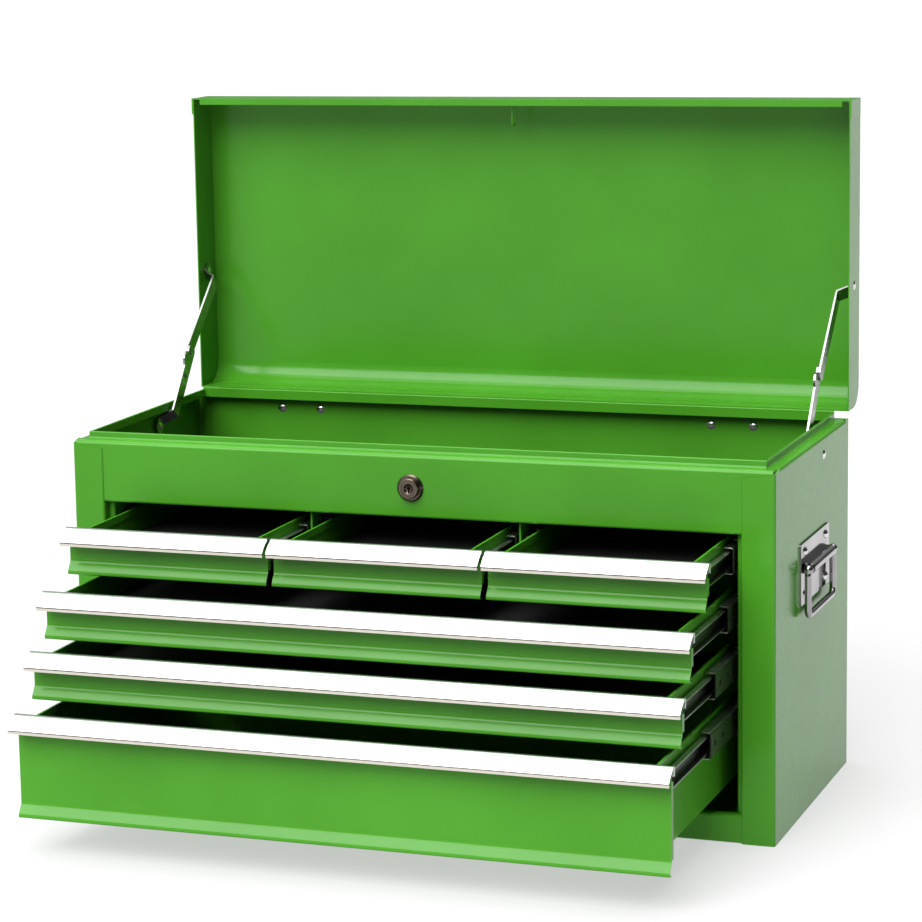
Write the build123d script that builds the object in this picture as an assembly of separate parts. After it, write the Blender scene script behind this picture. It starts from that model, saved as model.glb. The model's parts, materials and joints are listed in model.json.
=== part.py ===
"""Six-drawer steel top chest with a lift-up lid, drop handles, ball slides and folding lid stays.

Frame: X is the width, Y the depth with the front facing -Y, Z up. The origin is the centre of the
underside. The chest is modelled in use: lid open, drawers pulled out by different amounts.
"""

import math
import os

from build123d import *

# Driving dimensions, in millimetres
WIDTH = 600.0
DEPTH = 262.0
BODY_HEIGHT = 300.0
LID_HEIGHT = 40.0
SHEET = 1.0

# Front frame: stiles at the sides, a lock rail above the drawers and a sill below them
STILE_WIDTH = 27.5
RAIL_BOTTOM = 248.5
SILL_TOP = 23.0
RETURN = 7.5
RAIL_RETURN = 18.0
STILE_DROP = 3.0
STILE_SLOPE = 3.5
BEND = 2.2

# Rim of the body: a flat ledge that carries the lid, then a raised lip inside it
LEDGE_FRONT = 12.0
LEDGE_SIDE = 10.0
LIP_RISE = 6.0
REAR_LIP_RISE = 7.6
LIP_THICK = 1.8
RIM_BEND = 3.5

# Drawer fronts
FRONT_SPAN = 533.4
FRONT_GAP = 5.0
SHALLOW_FRONT = 38.5
DEEP_FRONT = 84.0
TOP_ROW_TOP = 243.0

# How far out each row's drawers and their middle slide channels are
TOP_ROW_PULLED = (79.0, 20.0)
SECOND_PULLED = (125.0, 36.0)
THIRD_PULLED = (151.0, 75.5)
BOTTOM_PULLED = (182.0, 91.0)

# Drawer boxes and their fronts
BOX_LENGTH = 240.0
BOX_HALF_SPAN = 255.0
WALL_DROP = 2.5
FLOOR_RISE = 12.0
HEM_THICK = 1.8
HEM_DEPTH = 6.0
FRONT_SHEET = 0.8
FLARE_RISE = 10.5
FLARE_OUT = 5.3
FLARE_LIP = 3.0
FLARE_BENDS = (5.0, 4.0, 1.2)
FOLD_BACK = 4.5
LINER_THICK = 1.5

# Pulls: an extruded strip hooked over the top edge of each front
PULL_SHEET = 1.5
PULL_SEAT = 2.25
PULL_REACH = 15.0
PULL_DROP = 13.4
PULL_TOE = 10.6
PULL_LIP_BACK = 0.9
PULL_OUTER_END = 2.0
PULL_INNER_END = 1.0

# Ball slides: nested channels between a drawer wall and the sheet beside it
SLIDE_THICK = 12.5
SLIDE_END = 238.0
RUNNER_START = 8.0
CHANNEL_START = 30.0
SLIDE_BELOW_TOP = 17.5
CHANNEL = 1.2
CHANNEL_BEND = 2.4
CHANNEL_HOLE_R = 2.6
CHANNEL_HOLE_PITCH = 24.0
RUNNER = (0.0, 6.4, 7.0)
MIDDLE = (8.6, 1.8, 10.75)
OUTER = (SLIDE_THICK - CHANNEL, 4.4, 13.5)
DIVIDER_THICK = 1.5
DIVIDER_BOTTOM = 206.0

# Till above the drawers
UPSTAND = 9.0
TILL_INSET = 3.4
TILL_MAT = 2.0

# Lid hinges
PIN_Y = DEPTH / 2 + 3.5
PIN_Z = BODY_HEIGHT + 1.5
PIN_R = 1.8
KNUCKLE_R = 3.0
LEAF_THICK = 1.2
LEAF_WIDTH = 50.0
LEAF_DEPTH = 20.0
HINGE_X = 199.0
HINGE_RIVET_PITCH = 37.0
HINGE_RIVET_REACH = 12.0

# Lid
LID_GAP = 0.3
LID_FRONT_BEND = 4.0
LID_REAR_BEND = 20.0
LID_TAB = 14.0
LID_STRIP = 5.5

# Folding stays: pivots in the YZ plane with the lid open
STAY_FOOT = (36.0, 285.0)
STAY_KNUCKLE = (82.0, 345.0)
STAY_HEAD = (153.0, 410.0)
STAY_WIDTH = 13.0
STAY_THICK = 1.6
STOP_RIVET = 24.0
LOWER_LINK_X = 284.1
UPPER_LINK_X = 286.0
HEAD_LINK_X = 296.1

# Drop handles on the sides
PLATE_LENGTH = 100.0
PLATE_HEIGHT = 50.0
PLATE_THICK = 1.5
PLATE_Z = 201.0
BAIL_Z = 205.0
BAIL_R = 2.8
BAIL_HALF_SPAN = 45.0
BAIL_DROP = 37.5
BAIL_BEND = 5.5
BARREL_R = 4.4
BARREL_HALF = 38.0
EAR_R = 4.1
SCREW_Y = 36.5
SCREW_Z = 17.5

# Lock
LOCK_Z = 273.0
PLUG_R = 6.0
DISH_OUT = 4.2
DISH_IN = 2.4
DISH_DEEP = 1.6
LOCK_BACK_Y = -113.0
CAM_REACH = 42.5
LOOP_RISE = 9.5
LOOP_R = 0.8

# Fits
RUN = 0.05
CLEAR = 0.3
RIVET_R = 2.0
HEAD_R = 4.0
HEAD_RISE = 1.4
SCREW_RISE = 2.2

half_w = WIDTH / 2
front_y = -DEPTH / 2
rear_y = DEPTH / 2
wall_x = half_w - SHEET
inner_x = wall_x - 1.3
stile_x = half_w - STILE_WIDTH
lip_x = half_w - LEDGE_SIDE
lip_front = front_y + LEDGE_FRONT
lip_rear = rear_y - LEDGE_FRONT
lip_top = BODY_HEIGHT + LIP_RISE
rear_lip_top = BODY_HEIGHT + REAR_LIP_RISE
rail_y = front_y + SHEET
till_z = RAIL_BOTTOM + SHEET
slide_wall_x = BOX_HALF_SPAN + SLIDE_THICK
small_front = (FRONT_SPAN - 2 * FRONT_GAP) / 3
divider_x = (small_front + FRONT_GAP) / 2
lid_top = BODY_HEIGHT + LID_HEIGHT
lid_bottom = BODY_HEIGHT + LID_GAP
bail_x = half_w + PLATE_THICK + BARREL_R
front_top_step = SHALLOW_FRONT + FRONT_GAP


# Shared shapes


def slab(x, y, z):
    """Box from its (low, high) limits on each axis."""
    centre = [(low + high) / 2 for low, high in (x, y, z)]
    return Pos(*centre) * Box(x[1] - x[0], y[1] - y[0], z[1] - z[0])


def both_sides(shape):
    """A shape and its mirror image across the middle of the chest."""
    return [shape, mirror(shape, about=Plane.YZ)]


def on_side(shape, side):
    """A shape drawn for the right-hand side, moved to the side asked for."""
    return shape if side == "right" else mirror(shape, about=Plane.YZ)


def bent_strip(points, plane, length, thick=SHEET, radius=BEND):
    """Folded sheet: its section follows points, thickens to their left and is extruded both ways."""
    run = Wire(FilletPolyline(*points, radius=radius).edges())
    section = make_face(run.offset_2d(thick, side=Side.LEFT).edges())
    return extrude(plane * section, amount=length / 2, both=True)


def bar_x(radius, x_from, x_to, y, z):
    """Round bar parallel to X."""
    middle = (x_from + x_to) / 2
    return Pos(middle, y, z) * Rot(0, 90, 0) * Cylinder(radius, abs(x_to - x_from))


def bar_y(radius, y_from, y_to, x, z):
    """Round bar parallel to Y."""
    middle = (y_from + y_to) / 2
    return Pos(x, middle, z) * Rot(90, 0, 0) * Cylinder(radius, abs(y_to - y_from))


def dome(radius, rise, base, direction):
    """Rivet head: a low dome standing on a face."""
    ball = (radius * radius + rise * rise) / (2 * rise)
    cap = Pos(0, 0, rise - ball) * Sphere(ball)
    keep = Pos(0, 0, rise / 2) * Box(2.2 * radius, 2.2 * radius, rise)
    return Plane(origin=base, z_dir=direction) * (cap & keep)


def screw_x(x_in, x_out, y, z):
    """Screw through sheets on the right-hand side: a low head inside and a round head outside."""
    shank = bar_x(RIVET_R, x_in, x_out, y, z)
    inner = dome(HEAD_R, HEAD_RISE, (x_in, y, z), (-1, 0, 0))
    outer = dome(HEAD_R, SCREW_RISE, (x_out, y, z), (1, 0, 0))
    return shank + inner + outer


def rivet_y(y_in, y_out, x, z):
    """Rivet through the sheets at the rear, with a head on each face."""
    shank = bar_y(RIVET_R, y_in, y_out, x, z)
    inner = dome(HEAD_R, HEAD_RISE, (x, y_in, z), (0, -1, 0))
    outer = dome(HEAD_R, HEAD_RISE, (x, y_out, z), (0, 1, 0))
    return shank + inner + outer


def opened(shape):
    """Lid part drawn closed, swung open by a right angle about the hinge pin."""
    return shape.rotate(Axis((0, PIN_Y, PIN_Z), (1, 0, 0)), -90)


def solids(*shapes):
    """Separate solids that share one node."""
    return Compound(children=list(shapes))


# Where the rivets and screws go


def hinge_rivet_places():
    """X positions of the hinge rivets."""
    offsets = (-HINGE_RIVET_PITCH / 2, HINGE_RIVET_PITCH / 2)
    return [side * (HINGE_X + offset) for side in (-1, 1) for offset in offsets]


def screw_places():
    """(y, z) of the four screws of a handle plate."""
    return [(y * SCREW_Y, PLATE_Z + z * SCREW_Z) for y in (-1, 1) for z in (-1, 1)]


# Cabinet


def side_lip(low_y, high_y):
    """Rounded lip along the top of a side."""
    inner = lip_x - LIP_THICK
    radius = LIP_THICK / 2
    lip = slab((inner, lip_x), (low_y, high_y), (BODY_HEIGHT - SHEET, lip_top - radius))
    return lip + bar_y(radius, low_y, high_y, lip_x - radius, lip_top - radius)


def side_panel(side):
    """Side with its front stile, rear flange, bottom flange and rim."""
    plan = [
        (stile_x, front_y + RETURN),
        (stile_x, front_y),
        (half_w, front_y),
        (half_w, rear_y - SHEET),
        (half_w - 12.0, rear_y - SHEET),
    ]
    sheet = Pos(0, 0, BODY_HEIGHT / 2) * bent_strip(plan, Plane.XY, BODY_HEIGHT)
    rim = [
        (half_w, BODY_HEIGHT - 15.0),
        (half_w, BODY_HEIGHT),
        (lip_x, BODY_HEIGHT),
        (lip_x, lip_top - LIP_THICK),
    ]
    rim_half = lip_rear - 0.2
    lip_half = lip_rear - LIP_THICK - 0.3
    sheet -= slab((lip_x, half_w + 1), (-rim_half, rim_half), (BODY_HEIGHT - 15.0, BODY_HEIGHT + 1))
    sheet += bent_strip(rim, Plane.XZ, 2 * rim_half, radius=(RIM_BEND, BEND))
    for end in (-1, 1):
        ends = sorted((end * lip_half, end * (rim_half + 1)))
        sheet -= slab((lip_x - 4, lip_x + 0.1), ends, (BODY_HEIGHT - 5, lip_top + 1))
    sheet += side_lip(-lip_half, lip_half)
    for z in ((RAIL_BOTTOM - 0.7, BODY_HEIGHT + 1), (-1, SILL_TOP + 0.2)):
        sheet -= slab((stile_x - 1, stile_x + 4), (rail_y, front_y + RETURN + 1), z)
    rim_z = (BODY_HEIGHT - RIM_BEND - 0.1, BODY_HEIGHT + 1)
    sheet -= slab((stile_x, wall_x - 0.1), (lip_rear, rear_y), rim_z)
    sheet -= front_corner_cut()
    sheet += slab((half_w - 11.0, wall_x), (-rear_y + 4, rear_y - 4), (SHEET + 0.2, 2 * SHEET + 0.2))
    for y, z in screw_places() + [STAY_FOOT]:
        sheet -= bar_x(RIVET_R, wall_x - 1, half_w + 1, y, z)
    return on_side(sheet, side)


def front_corner_cut():
    """Cut over the top of the stile and of the side beside it, sloping to the front and inward."""
    top = BODY_HEIGHT + 1
    corner = BODY_HEIGHT - STILE_DROP
    inner, outer = stile_x - 1, half_w + 1
    across = Polyline((inner, corner - STILE_SLOPE), (outer, corner), (outer, top), (inner, top), close=True)
    fore, aft = front_y - 1, lip_front
    along = Polyline((fore, corner), (aft, BODY_HEIGHT), (aft, top), (fore, top), close=True)
    stile = Pos(0, front_y, 0) * extrude(Plane.XZ * make_face(across), amount=SHEET, both=True)
    side = Pos(half_w, 0, 0) * extrude(Plane.YZ * make_face(along), amount=3, both=True)
    return stile + side


def end_rim(y_lip, y_inside, top):
    """Rounded lip along the front or rear rim."""
    low, high = sorted((y_lip, y_inside))
    radius = LIP_THICK / 2
    lip = slab((-lip_x, lip_x), (low, high), (BODY_HEIGHT - SHEET, top - radius))
    return lip + bar_x(radius, -lip_x, lip_x, (low + high) / 2, top - radius)


def lock_rail():
    """Rail above the drawers, folded back below and carrying the front rim above."""
    section = [
        (lip_front, lip_top - LIP_THICK),
        (lip_front, BODY_HEIGHT),
        (rail_y, BODY_HEIGHT),
        (rail_y, RAIL_BOTTOM),
        (rail_y + RAIL_RETURN, RAIL_BOTTOM),
    ]
    rail = bent_strip(section, Plane.YZ, 2 * inner_x, radius=(BEND, RIM_BEND, BEND))
    for x in ((-half_w, -lip_x), (lip_x, half_w)):
        rail -= slab(x, (lip_front, lip_front + 5), (BODY_HEIGHT - 5, lip_top))
        rail -= slab(x, (front_y, lip_front + 5), (BODY_HEIGHT, lip_top))
    for x in ((0.2 - wall_x, 0.5 - inner_x), (inner_x - 0.5, wall_x - 0.2)):
        rail += slab(x, (rail_y + RIM_BEND, lip_front), (BODY_HEIGHT - SHEET, BODY_HEIGHT))
    rail += end_rim(lip_front, lip_front + LIP_THICK, lip_top)
    return rail - bar_y(9.5, front_y - 1, front_y + 5, 0, LOCK_Z)


def back_panel():
    """Back with the rear rim folded from its top."""
    section = [
        (rear_y, 0),
        (rear_y, BODY_HEIGHT),
        (lip_rear, BODY_HEIGHT),
        (lip_rear, rear_lip_top - LIP_THICK),
    ]
    panel = bent_strip(section, Plane.YZ, 2 * wall_x, radius=(RIM_BEND, BEND))
    for x in ((-half_w, -inner_x), (inner_x, half_w)):
        panel -= slab(x, (lip_rear - 5, rear_y - SHEET), (BODY_HEIGHT - 5, rear_lip_top))
    for x in ((-half_w, -lip_x), (lip_x, half_w)):
        panel -= slab(x, (lip_rear - 5, lip_rear), (BODY_HEIGHT - 5, rear_lip_top))
        panel -= slab(x, (lip_rear - 5, rear_y), (BODY_HEIGHT, rear_lip_top))
    panel += end_rim(lip_rear, lip_rear - LIP_THICK, rear_lip_top)
    for x in hinge_rivet_places():
        panel -= bar_y(RIVET_R, rear_y - 3, rear_y + 1, x, PIN_Z - HINGE_RIVET_REACH)
    return panel


def sill_rail():
    """Rail below the drawers, folded back above and below."""
    section = [
        (rail_y + RETURN, SILL_TOP),
        (rail_y, SILL_TOP),
        (rail_y, 0),
        (rail_y + RETURN, 0),
    ]
    return bent_strip(section, Plane.YZ, 2 * inner_x)


def base_panel():
    """Flat bottom sheet."""
    return slab((-inner_x, inner_x), (rail_y + RETURN + 0.2, rear_y - 2.2), (0, SHEET))


def till_floor():
    """Floor of the till with an upstand on every side."""
    half_y = rear_y - TILL_INSET
    tray = slab((-inner_x, inner_x), (-half_y, half_y), (till_z, till_z + UPSTAND))
    inside_x = inner_x - SHEET
    inside_y = half_y - SHEET
    return tray - slab((-inside_x, inside_x), (-inside_y, inside_y), (till_z + SHEET, till_z + UPSTAND + 1))


def till_liner():
    """Rubber mat on the till floor."""
    half_x = inner_x - SHEET - CLEAR
    half_y = rear_y - TILL_INSET - SHEET - CLEAR
    return slab((-half_x, half_x), (-half_y, half_y), (till_z + SHEET, till_z + SHEET + TILL_MAT))


def slide_frame(side):
    """Inner sheet between base and lock rail that carries the slides on one side."""
    flange = 11.5
    front = front_y + 9.0
    rear = rear_y - 13.0
    plan = [
        (slide_wall_x + flange, rear),
        (slide_wall_x, rear),
        (slide_wall_x, front),
        (slide_wall_x + flange, front),
    ]
    height = RAIL_BOTTOM - SHEET
    frame = Pos(0, 0, SHEET + height / 2) * bent_strip(plan, Plane.XY, height)
    return on_side(frame, side)


def divider(side):
    """Sheet hung from the till floor between two of the small drawers."""
    x = (divider_x - DIVIDER_THICK / 2, divider_x + DIVIDER_THICK / 2)
    back = rear_y - 13.0
    rail_end = rail_y + RAIL_RETURN + 0.2
    sheet = slab(x, (front_y + 9.0, back), (DIVIDER_BOTTOM, RAIL_BOTTOM))
    sheet += slab(x, (rail_end, back), (RAIL_BOTTOM - 1, till_z))
    sheet += slab((x[0], x[1] + 9.0), (rail_end, back), (till_z - DIVIDER_THICK, till_z))
    return on_side(sheet, side)


def hinge_leaf(direction, knuckles):
    """One leaf of a butt hinge with the knuckles it owns, at x = 0; direction is +1 up or -1 down."""
    pitch = LEAF_WIDTH / 5
    far = PIN_Z + direction * LEAF_DEPTH
    near = PIN_Z + direction * (KNUCKLE_R + CLEAR)
    half = LEAF_WIDTH / 2
    leaf = slab((-half, half), (rear_y, rear_y + LEAF_THICK), tuple(sorted((near, far))))
    for index in knuckles:
        start = -half + index * pitch + (0.15 if index else 0)
        end = -half + (index + 1) * pitch - (0.15 if index < 4 else 0)
        leaf += bar_x(KNUCKLE_R, start, end, PIN_Y, PIN_Z)
        strap_z = tuple(sorted((PIN_Z, near + direction)))
        leaf += slab((start, end), (rear_y + CLEAR, rear_y + LEAF_THICK), strap_z)
    return leaf


def hinge_body_leaves():
    """Both lower leaves, drilled for their rivets, each with the hinge pin fixed in it."""
    leaf = hinge_leaf(-1, (0, 2, 4))
    for x in (-HINGE_RIVET_PITCH / 2, HINGE_RIVET_PITCH / 2):
        leaf -= bar_y(RIVET_R, rear_y - 1, rear_y + 3, x, PIN_Z - HINGE_RIVET_REACH)
    leaf += bar_x(PIN_R, -LEAF_WIDTH / 2, LEAF_WIDTH / 2, PIN_Y, PIN_Z)
    return solids(Pos(-HINGE_X, 0, 0) * leaf, Pos(HINGE_X, 0, 0) * leaf)


def hinge_lid_leaves():
    """Both upper leaves, welded to the lid and turning on the pins."""
    leaf = hinge_leaf(1, (1, 3))
    leaf -= bar_x(PIN_R + RUN, -LEAF_WIDTH, LEAF_WIDTH, PIN_Y, PIN_Z)
    return opened(solids(Pos(-HINGE_X, 0, 0) * leaf, Pos(HINGE_X, 0, 0) * leaf))


def stay_foot_rivet():
    """Shouldered rivet that holds the lower stay link off the side."""
    y, z = STAY_FOOT
    link_out = HEAD_LINK_X + STAY_THICK
    shank = bar_x(RIVET_R, HEAD_LINK_X - CLEAR, half_w, y, z)
    shoulder = bar_x(4.5, link_out + CLEAR, wall_x, y, z)
    inner = dome(HEAD_R, HEAD_RISE, (HEAD_LINK_X - CLEAR, y, z), (-1, 0, 0))
    outer = dome(HEAD_R, HEAD_RISE, (half_w, y, z), (1, 0, 0))
    return shank + shoulder + inner + outer


def cabinet_rivets():
    """Hinge rivets, handle screws and the stay foot rivets."""
    z = PIN_Z - HINGE_RIVET_REACH
    pieces = [rivet_y(rear_y - SHEET, rear_y + LEAF_THICK, x, z) for x in hinge_rivet_places()]
    for y, z in screw_places():
        pieces += both_sides(screw_x(wall_x, half_w + PLATE_THICK, y, z))
    pieces += both_sides(stay_foot_rivet())
    return solids(*pieces)


# Handles


def handle_plate(side):
    """Plate on the side with the barrel that the bail turns in."""
    plate = slab(
        (half_w, half_w + PLATE_THICK),
        (-PLATE_LENGTH / 2, PLATE_LENGTH / 2),
        (PLATE_Z - PLATE_HEIGHT / 2, PLATE_Z + PLATE_HEIGHT / 2),
    )
    plate = fillet(plate.edges().filter_by(Axis.X), 2.5)
    span = (-BARREL_HALF, BARREL_HALF)
    plate += slab((half_w + 1, bail_x), span, (BAIL_Z - BARREL_R, BAIL_Z + BARREL_R))
    plate += bar_y(BARREL_R, *span, bail_x, BAIL_Z)
    plate -= bar_y(BAIL_R + RUN, -PLATE_LENGTH, PLATE_LENGTH, bail_x, BAIL_Z)
    for y, z in screw_places():
        plate -= bar_x(RIVET_R, half_w - 1, half_w + 3, y, z)
    return on_side(plate, side)


def bail(side):
    """Drop handle: a bent rod with round ears, whose ends turn in the barrel."""
    low = BAIL_Z - BAIL_DROP
    corners = [
        (BAIL_HALF_SPAN - 14, BAIL_Z),
        (BAIL_HALF_SPAN, BAIL_Z),
        (BAIL_HALF_SPAN, low),
        (-BAIL_HALF_SPAN, low),
        (-BAIL_HALF_SPAN, BAIL_Z),
        (14 - BAIL_HALF_SPAN, BAIL_Z),
    ]
    upright = Plane(origin=(bail_x, 0, 0), x_dir=(0, 1, 0), z_dir=(1, 0, 0))
    run = upright * FilletPolyline(*corners, radius=BAIL_BEND)
    start = Plane(origin=run @ 0, z_dir=run % 0)
    rod = sweep(start * Circle(BAIL_R), path=Wire(run.edges()))
    for end in (-1, 1):
        rod += Pos(bail_x, end * (BAIL_HALF_SPAN - 1), BAIL_Z) * Sphere(EAR_R)
    return on_side(rod, side)


# Lock


def lock_housing():
    """Stepped escutcheon and barrel fixed in the lock rail."""
    flange = bar_y(11.15, rail_y - 2.0, rail_y, 0, LOCK_Z)
    flange = chamfer(flange.edges().sort_by(Axis.Y)[:1], 1.3)
    ring = bar_y(8.6, front_y - 5, rail_y, 0, LOCK_Z)
    ring = chamfer(ring.edges().sort_by(Axis.Y)[:1], 0.8)
    barrel = bar_y(9.5, rail_y, LOCK_BACK_Y, 0, LOCK_Z)
    return flange + ring + barrel - bar_y(PLUG_R + RUN, front_y - 9, 0, 0, LOCK_Z)


def lock_plug():
    """Turning plug with its keyway and the stem that carries the cam."""
    face = front_y - 4.4
    plug = bar_y(PLUG_R, face, LOCK_BACK_Y, 0, LOCK_Z)
    plug -= Pos(0, face + DISH_DEEP / 2, LOCK_Z) * Rot(90, 0, 0) * Cone(DISH_IN, DISH_OUT, DISH_DEEP)
    plug += bar_y(4.0, LOCK_BACK_Y - 1, LOCK_BACK_Y + 4.5, 0, LOCK_Z)
    keyway = slab((-0.7, 0.7), (face - 1, face + 7), (LOCK_Z - 3.6, LOCK_Z + 2.6))
    keyway += slab((-1.6, 1.6), (face - 1, face + 7), (LOCK_Z - 0.8, LOCK_Z + 1.8))
    return plug - keyway


def lock_cam():
    """Hooked cam on the stem, drawn unlocked."""
    inner = CAM_REACH - 4.0
    lean = math.radians(-24)
    arm_end = (CAM_REACH - 2) * math.cos(lean), (CAM_REACH - 2) * math.sin(lean)
    arm = Pos(arm_end[0] / 2, arm_end[1] / 2) * Rot(0, 0, -24) * Rectangle(CAM_REACH - 2, 7)
    finger = Circle(CAM_REACH) - Circle(inner)
    wedge = Polyline((0, 0), (60, 60 * math.tan(lean)), (60, 5.0), close=True)
    outline = Circle(8.0) + arm + (finger & make_face(wedge)) - Circle(4.0)
    plane = Plane(origin=(0, LOCK_BACK_Y + 0.4, LOCK_Z), x_dir=(1, 0, 0), z_dir=(0, 1, 0))
    cam = extrude(plane * mirror(outline, about=Plane.XZ), amount=2.0)
    return cam


# Lid, drawn closed and then swung open


def lid_block(block, inset):
    """Block with the lid's rear and front bends rounded, smaller by the inset."""
    rear = block.edges().filter_by(Axis.X).group_by(Axis.Z)[-1].sort_by(Axis.Y)[-1:]
    block = fillet(rear, LID_REAR_BEND - inset)
    front = block.edges().filter_by(Axis.X).sort_by(Axis.Y)[:2].sort_by(Axis.Z)[-1:]
    return fillet(front, LID_FRONT_BEND - inset)


def lid_shell():
    """Lid pan: top with flanges all round, front corner tabs and a strip folded inward at the front."""
    outer = slab((-wall_x, wall_x), (front_y, rear_y), (lid_bottom, lid_top))
    inner_x = wall_x - SHEET
    cavity = slab((-inner_x, inner_x), (rail_y, rear_y - SHEET), (lid_bottom - 5, lid_top - SHEET))
    lid = lid_block(outer, 0) - lid_block(cavity, SHEET)
    strip_x = half_w - 8.0
    lid += slab((-strip_x, strip_x), (front_y + 0.5, front_y + LID_STRIP), (lid_bottom, lid_bottom + SHEET))
    tab_end = front_y + LID_TAB
    tab = slab((wall_x, half_w), (front_y, tab_end), (lid_bottom, lid_top - LID_FRONT_BEND))
    for piece in both_sides(tab):
        lid += piece
    for x in ((-half_w - 1, 1 - wall_x), (wall_x - 1, half_w + 1)):
        lid -= slab(x, (tab_end, rear_y + 1), (lid_bottom - 1, lid_bottom + 0.7))
    y, z = closed_place(STAY_HEAD)
    lid -= bar_x(RIVET_R, -half_w - 1, -half_w + 4, y, z)
    lid -= bar_x(RIVET_R, half_w - 4, half_w + 1, y, z)
    return opened(lid)


def closed_place(place):
    """Where a point of the open lid's YZ plane lies when the lid is closed."""
    y, z = place
    return PIN_Y - (z - PIN_Z), PIN_Z + (y - PIN_Y)


def latch_loop():
    """Staple inside the front of the lid that the lock cam hooks."""
    low = BODY_HEIGHT + LOOP_RISE
    high = low + 9.0
    back = LOCK_BACK_Y + 5.0
    corners = [(rail_y, low), (back, low), (back, high), (rail_y, high)]
    run = Plane.YZ * FilletPolyline(*corners, radius=2.5)
    rod = sweep(Plane(origin=run @ 0, z_dir=run % 0) * Circle(LOOP_R), path=Wire(run.edges()))
    plate = slab((-9, 9), (rail_y, rail_y + 1.2), (low - 4, high + 4))
    return opened(rod + plate)


def lid_rivets():
    """Rivets that hold the stay heads to the lid."""
    y, z = closed_place(STAY_HEAD)
    shank = bar_x(RIVET_R, HEAD_LINK_X - CLEAR, wall_x, y, z)
    inner = dome(HEAD_R, 1.2, (HEAD_LINK_X - CLEAR, y, z), (-1, 0, 0))
    outer = dome(HEAD_R, 1.0, (wall_x, y, z), (1, 0, 0))
    return opened(solids(*both_sides(shank + inner + outer)))


# Stays


def link_plane(start, end):
    """Plane with its X along a link and its Z across the chest."""
    return Plane(origin=(0, *start), x_dir=(0, end[0] - start[0], end[1] - start[1]), z_dir=(1, 0, 0))


def link_outline(length):
    """Round-ended strip from one pivot to the other."""
    return Pos(length / 2, 0) * SlotCenterToCenter(length, STAY_WIDTH)


def stay_lower(side):
    """Link cranked inward from the side of the chest to the knuckle, with the lobe that stops the stay."""
    length = math.dist(STAY_FOOT, STAY_KNUCKLE)
    section = [
        (-STAY_WIDTH, HEAD_LINK_X),
        (5.0, HEAD_LINK_X),
        (13.0, LOWER_LINK_X),
        (length + STAY_WIDTH, LOWER_LINK_X),
    ]
    strip = bent_strip(section, Plane.XZ, 2 * STAY_WIDTH, STAY_THICK, 2.0)
    outline = link_outline(length) + Pos(length - 10, 3.8) * Circle(7.5) - Circle(RIVET_R + RUN)
    link = strip & Pos(0, 0, LOWER_LINK_X - 5) * extrude(outline, amount=30)
    link += dome(HEAD_R, HEAD_RISE, (length, 0, LOWER_LINK_X), (0, 0, -1))
    link += dome(3.0, HEAD_RISE, (length - STOP_RIVET, 0, LOWER_LINK_X), (0, 0, -1))
    return on_side(link_plane(STAY_FOOT, STAY_KNUCKLE) * link, side)


def stay_upper(side):
    """Link from the knuckle to the lid, cranked outward near the lid flange."""
    length = math.dist(STAY_KNUCKLE, STAY_HEAD)
    section = [
        (-STAY_WIDTH, UPPER_LINK_X),
        (length - 11.5, UPPER_LINK_X),
        (length - 5.5, HEAD_LINK_X),
        (length + STAY_WIDTH, HEAD_LINK_X),
    ]
    strip = bent_strip(section, Plane.XZ, STAY_WIDTH, STAY_THICK, 2.0)
    outline = Pos(0, 0, UPPER_LINK_X - 5) * extrude(link_outline(length), amount=30)
    hole = Pos(length, 0, UPPER_LINK_X) * Cylinder(RIVET_R + RUN, 40)
    return on_side(link_plane(STAY_KNUCKLE, STAY_HEAD) * (strip & outline - hole), side)


# Drawers, drawn closed and then pulled out


def drawer_plan():
    """Name, front limits, wall limits, top of the pull, front height and distances out, for every drawer."""
    small_box = divider_x - DIVIDER_THICK / 2 - SLIDE_THICK
    outer_box = divider_x + DIVIDER_THICK / 2 + SLIDE_THICK
    small = small_front / 2
    edge = FRONT_SPAN / 2
    span = BOX_HALF_SPAN
    second = TOP_ROW_TOP - front_top_step
    third = second - front_top_step
    bottom = third - front_top_step
    top_row = (TOP_ROW_TOP, SHALLOW_FRONT, TOP_ROW_PULLED)
    return [
        ("top_left", (-edge, small_front - edge), (-span, -outer_box), *top_row),
        ("top_middle", (-small, small), (-small_box, small_box), *top_row),
        ("top_right", (edge - small_front, edge), (outer_box, span), *top_row),
        ("second", (-edge, edge), (-span, span), second, SHALLOW_FRONT, SECOND_PULLED),
        ("third", (-edge, edge), (-span, span), third, SHALLOW_FRONT, THIRD_PULLED),
        ("bottom", (-edge, edge), (-span, span), bottom, DEEP_FRONT, BOTTOM_PULLED),
    ]


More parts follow.
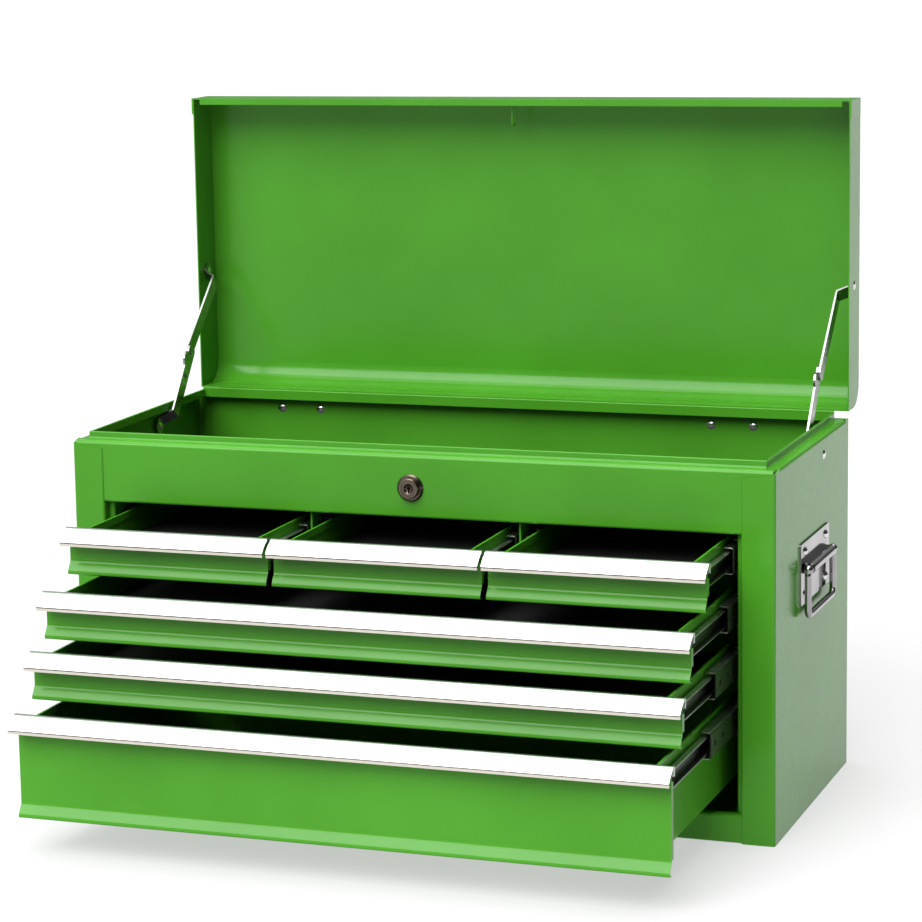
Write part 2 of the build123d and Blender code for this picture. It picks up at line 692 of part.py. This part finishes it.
def drawer_box(front, walls, top, height):
    """Front panel with its flared foot, and the tray behind it with hemmed walls."""
    foot = top - height
    flare_y = front_y - FLARE_OUT
    section = [
        (front_y, top - PULL_SEAT),
        (front_y, foot + FLARE_RISE),
        (flare_y, foot + FLARE_LIP),
        (flare_y, foot),
        (flare_y + 4, foot),
    ]
    middle = (front[0] + front[1]) / 2
    panel = Pos(middle, 0, 0) * bent_strip(section, Plane.YZ, front[1] - front[0], FRONT_SHEET, FLARE_BENDS)
    inside_y = front_y + FRONT_SHEET
    fold_z = (foot + FLARE_RISE + 1, top - PULL_DROP)
    for x in ((front[0], front[0] + FRONT_SHEET), (front[1] - FRONT_SHEET, front[1])):
        panel += slab(x, (inside_y - 0.1, inside_y + FOLD_BACK), fold_z)
    floor = foot + FLOOR_RISE
    rim = top - WALL_DROP
    rear = front_y + BOX_LENGTH
    tray = slab(walls, (inside_y, rear), (floor, rim))
    bay = (walls[0] + SHEET, walls[1] - SHEET)
    hem = (walls[0] + HEM_THICK, walls[1] - HEM_THICK)
    tray -= slab(bay, (inside_y - 1, rear - SHEET), (floor + SHEET, rim - HEM_DEPTH))
    tray -= slab(hem, (inside_y - 1, rear - HEM_THICK), (rim - HEM_DEPTH - 1, rim + 1))
    tray -= slab(walls, (inside_y - 1, inside_y + 2.5), (rim - HEM_DEPTH - 4, rim + 1))
    return panel + tray


def pull_ends(front):
    """Ends of a pull, a little past its front and further at the sides of the chest."""
    edge = FRONT_SPAN / 2
    past = [PULL_OUTER_END if edge - abs(x) < 1 else PULL_INNER_END for x in front]
    return front[0] - past[0], front[1] + past[1]


def drawer_pull(front, top):
    """Extruded pull hooked over the top edge of the front, with a lip set back under its toe."""
    hook_y = front_y + FRONT_SHEET + CLEAR + PULL_SHEET
    hook = (hook_y, top - 2.2)
    shoulder = (front_y - 4.2, top - 1.9)
    toe = (front_y - PULL_REACH, top - PULL_TOE)
    swell = (front_y - 0.66 * PULL_REACH, top - 0.51 * PULL_TOE)
    run = Wire(
        [
            Line((hook_y, top - 8.5), hook),
            ThreePointArc(hook, (front_y - 0.5, top), shoulder),
            ThreePointArc(shoulder, swell, toe),
        ]
    )
    section = make_face(run.offset_2d(PULL_SHEET, side=Side.LEFT).edges())
    lip_y = toe[0] + PULL_LIP_BACK + PULL_SHEET / 2
    lip_height = PULL_DROP - PULL_TOE + 0.3
    section += Pos(lip_y, top - PULL_DROP + lip_height / 2) * Rectangle(PULL_SHEET, lip_height)
    low, high = pull_ends(front)
    return Pos((low + high) / 2, 0, 0) * extrude(Plane.YZ * section, amount=(high - low) / 2, both=True)


def drawer_liner(walls, top, height):
    """Mat on the drawer floor."""
    floor = top - height + FLOOR_RISE + SHEET
    inset = SHEET + CLEAR
    y = (front_y + FRONT_SHEET + CLEAR, front_y + BOX_LENGTH - inset)
    return slab((walls[0] + inset, walls[1] - inset), y, (floor, floor + LINER_THICK))


def channel(profile, start, top):
    """Slide channel; its profile is how far out its web and flange tips lie, and half its height."""
    web, tips, half_height = profile
    outer = web + CHANNEL if web > tips else web
    inner = web if web > tips else web + CHANNEL
    web_side = -1 if web > tips else 0
    centre_z = top - SLIDE_BELOW_TOP
    y = (front_y + start, front_y + SLIDE_END)
    z = (centre_z - half_height, centre_z + half_height)
    piece = slab(tuple(sorted((tips, outer))), y, z)
    piece = fillet(piece.edges().filter_by(Axis.Y).group_by(Axis.X)[web_side], CHANNEL_BEND)
    past_tips = tips + math.copysign(1, tips - web)
    hollow = slab(tuple(sorted((past_tips, inner))), (y[0] - 1, y[1] + 1), (z[0] + CHANNEL, z[1] - CHANNEL))
    return piece - fillet(hollow.edges().filter_by(Axis.Y).group_by(Axis.X)[web_side], CHANNEL_BEND - CHANNEL)


def channel_pair(walls, piece):
    """A channel against each wall of a drawer, facing outward."""
    right = Pos(walls[1], 0, 0) * piece
    left = Pos(walls[0], 0, 0) * mirror(piece, about=Plane.YZ)
    return [left, right]


def middle_channel(top):
    """Channel between the other two, with two holes stamped in its web near the front."""
    piece = channel(MIDDLE, CHANNEL_START, top)
    web = MIDDLE[0]
    for place in (0.5, 1.5):
        y = front_y + CHANNEL_START + place * CHANNEL_HOLE_PITCH
        piece -= bar_x(CHANNEL_HOLE_R, web - 1, web + CHANNEL + 1, y, top - SLIDE_BELOW_TOP)
    return piece


def drawers():
    """Every drawer's pieces, and the cabinet channels they run in."""
    nodes = {}
    fixed = []
    for name, front, walls, top, height, pulled in drawer_plan():
        out = Pos(0, -pulled[0], 0)
        part_out = Pos(0, -pulled[1], 0)
        nodes[f"drawer_{name}_box"] = out * drawer_box(front, walls, top, height)
        nodes[f"drawer_{name}_pull"] = out * drawer_pull(front, top)
        nodes[f"drawer_{name}_liner"] = out * drawer_liner(walls, top, height)
        runner = channel(RUNNER, RUNNER_START, top)
        nodes[f"drawer_{name}_runners"] = out * solids(*channel_pair(walls, runner))
        nodes[f"drawer_{name}_mid_slides"] = part_out * solids(*channel_pair(walls, middle_channel(top)))
        fixed += channel_pair(walls, channel(OUTER, CHANNEL_START, top))
    nodes["cabinet_slides"] = solids(*fixed)
    return nodes


def build():
    """Every node of the chest by name."""
    nodes = {
        "back_panel": back_panel(),
        "base_panel": base_panel(),
        "lock_rail": lock_rail(),
        "sill_rail": sill_rail(),
        "till_floor": till_floor(),
        "till_liner": till_liner(),
        "hinge_body_leaves": hinge_body_leaves(),
        "lock_housing": lock_housing(),
        "cabinet_rivets": cabinet_rivets(),
        "lid_shell": lid_shell(),
        "latch_loop": latch_loop(),
        "hinge_lid_leaves": hinge_lid_leaves(),
        "lid_rivets": lid_rivets(),
        "lock_plug": lock_plug(),
        "lock_cam": lock_cam(),
    }
    for side in ("left", "right"):
        nodes[f"side_panel_{side}"] = side_panel(side)
        nodes[f"slide_frame_{side}"] = slide_frame(side)
        nodes[f"divider_{side}"] = divider(side)
        nodes[f"handle_plate_{side}"] = handle_plate(side)
        nodes[f"bail_{side}"] = bail(side)
        nodes[f"stay_lower_{side}"] = stay_lower(side)
        nodes[f"stay_upper_{side}"] = stay_upper(side)
    nodes.update(drawers())
    return nodes


os.makedirs("parts", exist_ok=True)
for node, shape in build().items():
    export_step(shape, f"parts/{node}.step")
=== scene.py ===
"""Looks for the six-drawer top chest.

Painted sheet steel, bright aluminium pulls, blackened slides, plated stays and handles, black mats.
"""

import json
import math

import bpy
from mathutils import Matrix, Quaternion, Vector

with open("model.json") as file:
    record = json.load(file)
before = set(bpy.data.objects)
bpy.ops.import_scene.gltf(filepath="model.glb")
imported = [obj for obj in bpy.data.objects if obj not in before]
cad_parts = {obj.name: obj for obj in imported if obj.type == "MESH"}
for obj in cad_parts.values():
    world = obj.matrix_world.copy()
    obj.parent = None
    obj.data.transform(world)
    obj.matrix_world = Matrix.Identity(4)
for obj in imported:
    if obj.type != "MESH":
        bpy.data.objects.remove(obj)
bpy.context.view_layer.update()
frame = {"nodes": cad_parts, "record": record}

NODES = frame["nodes"]

# Camera: its place in metres, its angles in degrees, its lens in millimetres
CAMERA_PLACE = (0.868, -2.479, 0.741)
CAMERA_AZIMUTH = 21.17
CAMERA_ELEVATION = 10.08
CAMERA_ROLL = -1.23
CAMERA_LENS = 123.6
CAMERA_SHIFT = 0.108
CAMERA_REACH = 200.0

# Surroundings: strength at the horizon and high up, the share of it left on the right, and what is added
# overhead. Each runs between two values of the upward or rightward part of the direction.
SKY_LOW = 0.15
SKY_HIGH = 1.7
SKY_CLIMB = (0.1, 0.9)
SKY_RIGHT = 0.08
SKY_DIMMING = (-0.2, 0.6)
SKY_TOP = 4.5
SKY_CAP = (0.88, 0.96)

# Key light: strength, then its spread and its direction in degrees, and how far off it stands in metres
KEY_POWER = 3.5
KEY_SPREAD = 46.0
KEY_AZIMUTH = -14.0
KEY_ELEVATION = 44.0
KEY_DISTANCE = 2.0

# Floor: half its side in metres, the shade it reflects, and the light it gives by itself
FLOOR_HALF = 40.0
FLOOR_SHADE = 0.25
FLOOR_GLOW = 0.54
FLOOR_ROUGHNESS = 0.9

# Edges: over the first angle in degrees shading stays crisp, and over the second the edge is softened,
# by a width in metres that goes with the slot
CRISP_OVER = 28.0
SOFTEN_OVER = 40.0
SOFTEN_SEGMENTS = 2
EDGE_WIDTHS = {
    "green_paint": 0.00025,
    "bright_aluminium": 0.0003,
    "black_rubber": 0.0004,
    "zinc_steel": 0.0002,
}

# Colours, all linear
WHITE = (1.0, 1.0, 1.0)
GREEN = (0.054, 0.250, 0.014)
GREEN_DEEP = (0.049, 0.230, 0.012)
GREEN_PALE = (0.060, 0.272, 0.017)
RUBBER_DARK = (0.006, 0.006, 0.006)
RUBBER_PALE = (0.020, 0.020, 0.020)
SLIDE_BLACK = (0.010, 0.011, 0.009)
PULL_LIP = (0.74, 0.70, 0.62)
# Painted shadow: the dark line under the toe of a pull
PULL_GROOVE_SHADOW = (0.07, 0.06, 0.06)
PULL_SLOPE = (0.72, 0.75, 0.72)
# Painted shade: the darker crest of a pull
PULL_CREST_SHADE = (0.20, 0.25, 0.20)

# Refractive index of the paint
PAINT_IOR = 1.3

# Stretch of the fine lines in bare metal: even, or drawn out along the width or along the depth
EVEN = (1.0, 1.0, 1.0)
ALONG_WIDTH = (0.04, 1.0, 1.0)
ALONG_DEPTH = (1.0, 0.08, 1.0)


# Node material helpers


def opaque(colour):
    """Colour with full alpha."""
    return (*colour, 1.0)


def new_material(name):
    """Empty node material with a Principled shader wired to its output."""
    material = bpy.data.materials.new(name)
    material.use_nodes = True
    tree = material.node_tree
    tree.nodes.clear()
    out = tree.nodes.new("ShaderNodeOutputMaterial")
    shader = tree.nodes.new("ShaderNodeBsdfPrincipled")
    tree.links.new(shader.outputs["BSDF"], out.inputs["Surface"])
    return material, tree, shader


def object_coordinates(tree, stretch=EVEN):
    """Object coordinates in metres, scaled along each axis by stretch."""
    coordinates = tree.nodes.new("ShaderNodeTexCoord")
    mapping = tree.nodes.new("ShaderNodeMapping")
    mapping.inputs["Scale"].default_value = stretch
    tree.links.new(coordinates.outputs["Object"], mapping.inputs["Vector"])
    return mapping.outputs["Vector"]


def generated_axes(tree):
    """Separate X, Y and Z of the Generated coordinates: 0 to 1 over a piece, the direction in a world."""
    coordinates = tree.nodes.new("ShaderNodeTexCoord")
    axes = tree.nodes.new("ShaderNodeSeparateXYZ")
    tree.links.new(coordinates.outputs["Generated"], axes.inputs["Vector"])
    return axes.outputs


def noise(tree, vector, scale, detail=2.0, roughness=0.5):
    """Noise factor over the given coordinates."""
    node = tree.nodes.new("ShaderNodeTexNoise")
    node.inputs["Scale"].default_value = scale
    node.inputs["Detail"].default_value = detail
    node.inputs["Roughness"].default_value = roughness
    tree.links.new(vector, node.inputs["Vector"])
    return node.outputs["Fac"]


def ramp(tree, factor, stops):
    """Colour ramp through (position, colour) stops."""
    node = tree.nodes.new("ShaderNodeValToRGB")
    elements = node.color_ramp.elements
    for index, (position, colour) in enumerate(stops):
        element = elements[index] if index < 2 else elements.new(position)
        element.position = position
        element.color = opaque(colour)
    tree.links.new(factor, node.inputs["Fac"])
    return node.outputs["Color"]


def spread(tree, factor, low, high, limits=(0.3, 0.7)):
    """Factor remapped from limits to the range low to high, and held at its ends."""
    node = tree.nodes.new("ShaderNodeMapRange")
    node.inputs["From Min"].default_value = limits[0]
    node.inputs["From Max"].default_value = limits[1]
    node.inputs["To Min"].default_value = low
    node.inputs["To Max"].default_value = high
    tree.links.new(factor, node.inputs["Value"])
    return node.outputs["Result"]


def bump(tree, shader, height, strength, distance):
    """Bump from a height factor."""
    node = tree.nodes.new("ShaderNodeBump")
    node.inputs["Strength"].default_value = strength
    node.inputs["Distance"].default_value = distance
    tree.links.new(height, node.inputs["Height"])
    tree.links.new(node.outputs["Normal"], shader.inputs["Normal"])


def fine_lines(tree, shader, stretch, roughness, strength):
    """Roughness and bump of metal with fine lines, drawn out along the axis where stretch is small."""
    lines = noise(tree, object_coordinates(tree, stretch), scale=400.0, detail=4.0, roughness=0.6)
    tree.links.new(spread(tree, lines, *roughness), shader.inputs["Roughness"])
    bump(tree, shader, lines, strength, distance=0.0002)


# Materials


def green_paint():
    """Glossy green enamel with a faint orange peel and slight cloudiness."""
    material, tree, shader = new_material("green_paint")
    vector = object_coordinates(tree)
    cloud = noise(tree, vector, scale=9.0, detail=3.0)
    smears = noise(tree, vector, scale=60.0, detail=4.0)
    peel = noise(tree, vector, scale=700.0, detail=1.0)
    colour = ramp(tree, cloud, [(0.3, GREEN_DEEP), (0.5, GREEN), (0.75, GREEN_PALE)])
    tree.links.new(colour, shader.inputs["Base Color"])
    tree.links.new(spread(tree, smears, 0.14, 0.20), shader.inputs["Roughness"])
    bump(tree, shader, peel, strength=0.05, distance=0.0003)
    shader.inputs["IOR"].default_value = PAINT_IOR
    return material


def black_rubber():
    """Matt black mat with a fine open texture."""
    material, tree, shader = new_material("black_rubber")
    grain = noise(tree, object_coordinates(tree), scale=900.0, detail=3.0)
    colour = ramp(tree, grain, [(0.35, RUBBER_DARK), (0.7, RUBBER_PALE)])
    tree.links.new(colour, shader.inputs["Base Color"])
    tree.links.new(spread(tree, grain, 0.65, 0.9), shader.inputs["Roughness"])
    bump(tree, shader, grain, strength=0.5, distance=0.0006)
    return material


def bare_metal(name, dark, light, roughness, strength, stretch=EVEN):
    """Metal, slightly cloudy between a dark and a light colour, with fine lines."""
    material, tree, shader = new_material(name)
    cloud = noise(tree, object_coordinates(tree), scale=25.0, detail=3.0)
    tree.links.new(ramp(tree, cloud, [(0.3, dark), (0.7, light)]), shader.inputs["Base Color"])
    fine_lines(tree, shader, stretch, roughness, strength)
    shader.inputs["Metallic"].default_value = 1.0
    return material


def bright_aluminium():
    """Drawn aluminium of a pull in bands by height: a pale cream lower lip, a painted shadow line over it
    under the toe, a bright slope and painted shade on the crest.
    """
    material, tree, shader = new_material("bright_aluminium")
    stops = [
        (0.0, PULL_LIP),
        (0.15, PULL_LIP),
        # Painted shadow line under the toe
        (0.17, PULL_GROOVE_SHADOW),
        (0.235, PULL_GROOVE_SHADOW),
        (0.255, PULL_SLOPE),
        (0.90, PULL_SLOPE),
        # Painted shade on the crest
        (0.94, PULL_CREST_SHADE),
    ]
    colour = ramp(tree, generated_axes(tree)["Z"], stops)
    tree.links.new(colour, shader.inputs["Base Color"])
    fine_lines(tree, shader, ALONG_WIDTH, roughness=(0.24, 0.36), strength=0.10)
    shader.inputs["Metallic"].default_value = 1.0
    return material


def slide_steel(name, edge_highlight_colour):
    """Blackened steel with a painted highlight, bright metal of the given edge colour, along the upper and
    lower edges of a channel.
    """
    material, tree, shader = new_material(name)
    # Band mask: the middle of the channel stays blackened, the upper and lower edges get the painted
    # highlight
    band = tree.nodes.new("ShaderNodeMath")
    band.operation = "COMPARE"
    height, middle, half_height = band.inputs
    tree.links.new(generated_axes(tree)["Z"], height)
    middle.default_value = 0.5
    half_height.default_value = 0.47
    blackened = band.outputs["Value"]
    colour = ramp(tree, blackened, [(0.0, edge_highlight_colour), (1.0, SLIDE_BLACK)])
    tree.links.new(colour, shader.inputs["Base Color"])
    tree.links.new(spread(tree, blackened, 1.0, 0.0, limits=(0.0, 1.0)), shader.inputs["Metallic"])
    fine_lines(tree, shader, ALONG_DEPTH, roughness=(0.25, 0.40), strength=0.10)
    return material


MATERIALS = {
    # Runners and middle members: painted highlight of pale metal along the channel edges
    "slide_steel": slide_steel("slide_steel", edge_highlight_colour=(0.55, 0.57, 0.53)),
    # Cabinet members: the painted edges are as dark as the blackened middle, so they carry no highlight
    "hidden_steel": slide_steel("hidden_steel", edge_highlight_colour=(0.03, 0.03, 0.03)),
    "polished_steel": bare_metal(
        "polished_steel",
        dark=(0.62, 0.63, 0.62),
        light=(0.78, 0.78, 0.76),
        roughness=(0.08, 0.14),
        strength=0.03,
    ),
    "green_paint": green_paint(),
    "black_rubber": black_rubber(),
    "bright_aluminium": bright_aluminium(),
    "zinc_steel": bare_metal(
        "zinc_steel",
        dark=(0.24, 0.25, 0.24),
        light=(0.38, 0.38, 0.37),
        roughness=(0.16, 0.30),
        strength=0.10,
        stretch=ALONG_DEPTH,
    ),
    "bright_chrome": bare_metal(
        "bright_chrome",
        dark=(0.28, 0.27, 0.28),
        light=(0.40, 0.38, 0.39),
        roughness=(0.05, 0.12),
        strength=0.03,
    ),
    "dark_bronze": bare_metal(
        "dark_bronze",
        dark=(0.09, 0.07, 0.05),
        light=(0.20, 0.17, 0.14),
        roughness=(0.18, 0.32),
        strength=0.06,
    ),
}

# Nodes whose steel differs from the rest of their slot, by the end of the name
SPECIAL = {
    "cabinet_slides": "hidden_steel",
    "runners": "slide_steel",
    "mid_slides": "slide_steel",
    "rivets": "polished_steel",
}


# Surfaces of the CAD nodes


def edge_smoothing():
    """Node group that shades smoothly except over sharp edges."""
    group = bpy.data.node_groups.new("smooth_by_angle", "GeometryNodeTree")
    group.interface.new_socket("Geometry", in_out="INPUT", socket_type="NodeSocketGeometry")
    group.interface.new_socket("Geometry", in_out="OUTPUT", socket_type="NodeSocketGeometry")
    entry = group.nodes.new("NodeGroupInput")
    leave = group.nodes.new("NodeGroupOutput")
    faces = group.nodes.new("GeometryNodeSetShadeSmooth")
    edges = group.nodes.new("GeometryNodeSetShadeSmooth")
    edges.domain = "EDGE"
    angle = group.nodes.new("GeometryNodeInputMeshEdgeAngle")
    blunt = group.nodes.new("FunctionNodeCompare")
    blunt.operation = "LESS_THAN"
    blunt.inputs["B"].default_value = math.radians(CRISP_OVER)
    group.links.new(entry.outputs[0], faces.inputs["Geometry"])
    group.links.new(faces.outputs["Geometry"], edges.inputs["Geometry"])
    group.links.new(angle.outputs["Unsigned Angle"], blunt.inputs["A"])
    group.links.new(blunt.outputs["Result"], edges.inputs["Shade Smooth"])
    group.links.new(edges.outputs["Geometry"], leave.inputs[0])
    return group


def finish_surface(piece, material, edge, smoothing):
    """Material, edges softened by the width edge if there is one, and smooth shading for a piece."""
    piece.data.materials.clear()
    piece.data.materials.append(material)
    if edge:
        bevel = piece.modifiers.new("softened_edges", "BEVEL")
        bevel.width = edge
        bevel.segments = SOFTEN_SEGMENTS
        bevel.limit_method = "ANGLE"
        bevel.angle_limit = math.radians(SOFTEN_OVER)
    smooth = piece.modifiers.new("smoothing", "NODES")
    smooth.node_group = smoothing


def dress_nodes():
    """Every CAD node gets the material of its slot, or the special one for its name."""
    smoothing = edge_smoothing()
    for entry in frame["record"]["subparts"]:
        name, slot = entry["node"], entry["material_slot"]
        surface = next((special for ending, special in SPECIAL.items() if name.endswith(ending)), slot)
        finish_surface(NODES[name], MATERIALS[surface], EDGE_WIDTHS.get(slot, 0.0), smoothing)


# Studio


def place(name, data):
    """New object in the scene that holds the given mesh, light or camera."""
    thing = bpy.data.objects.new(name, data)
    bpy.context.scene.collection.objects.link(thing)
    return thing


def view_direction(azimuth, elevation):
    """Unit vector from the chest: degrees round from the front to the right, then degrees up."""
    azimuth, elevation = math.radians(azimuth), math.radians(elevation)
    level = math.cos(elevation)
    return Vector((math.sin(azimuth) * level, -math.cos(azimuth) * level, math.sin(elevation)))


def turn_back(thing, direction, roll=0.0):
    """Turns a light or camera that stands in a direction to look back along it, rolled by degrees."""
    thing.rotation_mode = "QUATERNION"
    tilt = Quaternion((0.0, 0.0, 1.0), math.radians(roll))
    thing.rotation_quaternion = (-direction).to_track_quat("-Z", "Y") @ tilt


def studio_floor():
    """Large pale floor, lit from within like a light table so that shadows on it stay faint."""
    corners = [
        (-FLOOR_HALF, -FLOOR_HALF, 0.0),
        (FLOOR_HALF, -FLOOR_HALF, 0.0),
        (FLOOR_HALF, FLOOR_HALF, 0.0),
        (-FLOOR_HALF, FLOOR_HALF, 0.0),
    ]
    mesh = bpy.data.meshes.new("floor")
    mesh.from_pydata(corners, [], [(0, 1, 2, 3)])
    material, _, shader = new_material("floor")
    shader.inputs["Base Color"].default_value = opaque((FLOOR_SHADE, FLOOR_SHADE, FLOOR_SHADE))
    shader.inputs["Roughness"].default_value = FLOOR_ROUGHNESS
    shader.inputs["Specular IOR Level"].default_value = 0.0
    shader.inputs["Emission Color"].default_value = opaque(WHITE)
    shader.inputs["Emission Strength"].default_value = FLOOR_GLOW
    mesh.materials.append(material)
    floor = place("floor", mesh)


def surroundings():
    """White surroundings that brighten upwards, most of all overhead, and dim to the right."""
    world = bpy.data.worlds.new("surroundings")
    world.use_nodes = True
    tree = world.node_tree
    axes = generated_axes(tree)
    height = spread(tree, axes["Z"], SKY_LOW, SKY_HIGH, SKY_CLIMB)
    flank = spread(tree, axes["X"], 1.0, SKY_RIGHT, SKY_DIMMING)
    overhead = spread(tree, axes["Z"], 0.0, SKY_TOP, SKY_CAP)
    strength = tree.nodes.new("ShaderNodeMath")
    strength.operation = "MULTIPLY_ADD"
    for source, socket in zip((height, flank, overhead), strength.inputs):
        tree.links.new(source, socket)
    background = tree.nodes["Background"]
    background.inputs["Color"].default_value = opaque(WHITE)
    tree.links.new(strength.outputs["Value"], background.inputs["Strength"])
    bpy.context.scene.world = world


def key_light():
    """One broad soft light from high up at the front, a little to the left."""
    sun = bpy.data.lights.new("key", "SUN")
    sun.energy = KEY_POWER
    sun.angle = math.radians(KEY_SPREAD)
    light = place("key", sun)
    direction = view_direction(KEY_AZIMUTH, KEY_ELEVATION)
    light.location = KEY_DISTANCE * direction
    turn_back(light, direction)


def camera():
    """Camera at the pictured viewing angle."""
    data = bpy.data.cameras.new("camera")
    data.lens = CAMERA_LENS
    data.shift_x = CAMERA_SHIFT
    data.clip_end = CAMERA_REACH
    seen = place("camera", data)
    seen.location = CAMERA_PLACE
    turn_back(seen, view_direction(CAMERA_AZIMUTH, CAMERA_ELEVATION), CAMERA_ROLL)
    bpy.context.scene.camera = seen


dress_nodes()
studio_floor()
surroundings()
key_light()
camera()
bpy.context.scene.view_settings.view_transform = "Standard"
